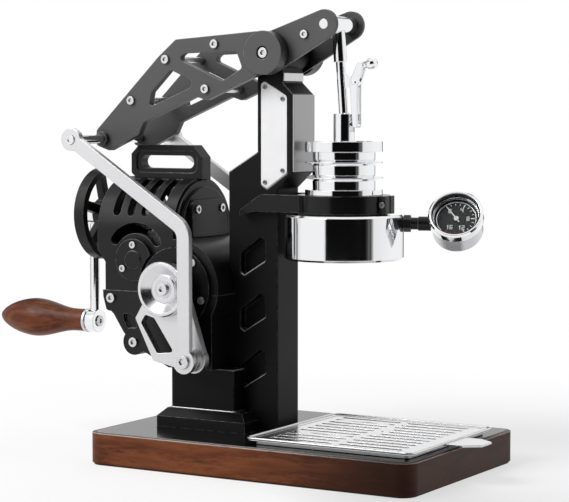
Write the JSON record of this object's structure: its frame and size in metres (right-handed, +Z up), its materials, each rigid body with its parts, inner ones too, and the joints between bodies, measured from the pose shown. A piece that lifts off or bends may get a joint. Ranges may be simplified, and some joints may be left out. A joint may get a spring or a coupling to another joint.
{
  "type": "manual espresso maker",
  "caption": "Hand-cranked espresso maker: a geared crank rocks a lever that presses a piston into the brew group; walnut base, drip tray and pressure gauge.",
  "frame": {"origin": "middle of the underside of the base", "axes": "+X along the base towards the brew group, -Y the near side, +Z up"},
  "size_m": [0.438, 0.174, 0.3352],
  "materials": {
    "walnut": "oiled, satin",
    "black_plate": "gloss black",
    "black_casting": "satin black powder coat",
    "black_lever": "satin black",
    "panel_grey": "satin light grey",
    "satin_silver": "bead blasted",
    "turned_silver": "turned",
    "chrome": "mirror",
    "plain_steel": "brushed",
    "stainless": "brushed",
    "brass": "machined",
    "rubber": "matte",
    "dial_black": "matte",
    "needle_white": "matte",
    "clear_glass": "clear"
  },
  "bodies": {
    "frame": {"anti_slip_mat": "rubber", "base_board": "walnut", "base_top_plate": "black_plate", "pedestal_foot": "black_plate", "pedestal": "black_plate", "column": "black_casting", "column_front_plate": "plain_steel", "neck_plate": "plain_steel", "side_panels": "panel_grey", "column_screws": "plain_steel", "gear_case_upper": "black_casting", "gear_case_lower": "black_casting", "case_end_cap": "black_casting", "end_cap_flange": "black_casting", "carry_loop": "black_casting", "lay_bearing_caps": "black_casting", "output_bearing_caps": "black_plate", "case_screws": "plain_steel", "crank_bush": "brass", "clamp_ring": "black_casting", "brew_cylinder": "chrome", "group_gasket": "rubber", "group_head": "chrome", "shower_screen": "plain_steel", "gauge_stem": "black_casting", "gauge_case": "chrome", "gauge_bezel": "chrome", "gauge_dial": "dial_black", "gauge_lens": "clear_glass"},
    "drip_tray": {"drip_tray": "stainless", "drip_grate": "stainless"},
    "lever": {"truss_plates": "black_lever", "nose_plates": "black_lever", "pivot_discs": "black_lever", "truss_spacers": "plain_steel", "lever_screws": "plain_steel", "rear_pin": "chrome", "front_pin": "chrome", "pivot_shaft": "plain_steel"},
    "hand_crank": {"crank_shaft": "plain_steel", "worm": "plain_steel", "flywheel": "black_casting", "crank_arm": "chrome", "grip_axle": "plain_steel"},
    "grip": {"grip_ferrule": "chrome", "wooden_grip": "walnut"},
    "lay_shaft": {"lay_shaft": "plain_steel", "worm_wheel": "plain_steel", "lay_pinion": "plain_steel"},
    "output_crank": {"output_shaft": "plain_steel", "output_gear": "plain_steel", "crank_webs": "satin_silver", "hub_discs": "turned_silver"},
    "links": {"links": "satin_silver", "link_screws": "plain_steel"},
    "connecting_rod": {"connecting_rod": "chrome"},
    "release_lever": {"release_lever": "chrome"},
    "piston": {"piston_stem": "chrome", "piston_seal": "rubber"},
    "gauge_needle": {"gauge_needle": "needle_white"}
  },
  "joints": [
    {"name": "hand_crank_turn", "type": "hinge", "parent": "frame", "child": "hand_crank", "pos_m": [-0.157, 0, 0.1819], "axis": [1, 0, 0], "range_deg": [0, 3300]},
    {"name": "lay_shaft_turn", "type": "hinge", "parent": "frame", "child": "lay_shaft", "pos_m": [-0.12176, 0, 0.1499], "axis": [0, 1, 0], "range_deg": [-300.06, 0]},
    {"name": "output_turn", "type": "hinge", "parent": "frame", "child": "output_crank", "pos_m": [-0.0844, 0, 0.1307], "axis": [0, 1, 0], "range_deg": [0, 150.03]},
    {"name": "lever_rock", "type": "hinge", "parent": "frame", "child": "lever", "pos_m": [-0.015, 0, 0.3044], "axis": [0, 1, 0], "range_deg": [0, 40.28]},
    {"name": "link_swing", "type": "hinge", "parent": "lever", "child": "links", "pos_m": [-0.16013, 0, 0.24069], "axis": [0, 1, 0], "range_deg": [-19.16, 0]},
    {"name": "rod_swing", "type": "hinge", "parent": "lever", "child": "connecting_rod", "pos_m": [0.0305, 0, 0.32466], "axis": [0, 1, 0], "range_deg": [-38.36, 0]},
    {"name": "piston_slide", "type": "slide", "parent": "frame", "child": "piston", "axis": [0, 0, -1], "range_m": [0, 0.03435]},
    {"name": "release_swing", "type": "hinge", "parent": "connecting_rod", "child": "release_lever", "pos_m": [0.04509, 0, 0.28261], "axis": [0, 1, 0], "range_deg": [-12, 0], "stiffness_Nm_per_rad": 0.05},
    {"name": "grip_spin", "type": "hinge", "parent": "hand_crank", "child": "grip", "pos_m": [-0.197, 0, 0.0964], "axis": [1, 0, 0], "continuous": true},
    {"name": "tray_slide", "type": "slide", "parent": "frame", "child": "drip_tray", "axis": [1, 0, 0], "range_m": [0, 0.14]},
    {"name": "needle_swing", "type": "hinge", "parent": "frame", "child": "gauge_needle", "pos_m": [0.11349, 0.02839, 0.1805], "axis": [0.2767, -0.7602, 0.5878], "range_deg": [-250, 0], "stiffness_Nm_per_rad": 0.0005}
  ],
  "couplings": [
    {"joint": "lay_shaft_turn", "follows": "hand_crank_turn", "ratio": -0.090909},
    {"joint": "output_turn", "follows": "hand_crank_turn", "ratio": 0.045455},
    {"joint": "lever_rock", "follows": "hand_crank_turn", "ratio": 0.012205},
    {"joint": "link_swing", "follows": "hand_crank_turn", "ratio": -0.0058063},
    {"joint": "rod_swing", "follows": "hand_crank_turn", "ratio": -0.011621},
    {"joint": "piston_slide", "follows": "hand_crank_turn", "m_per_rad": 0.00059626}
  ]
}
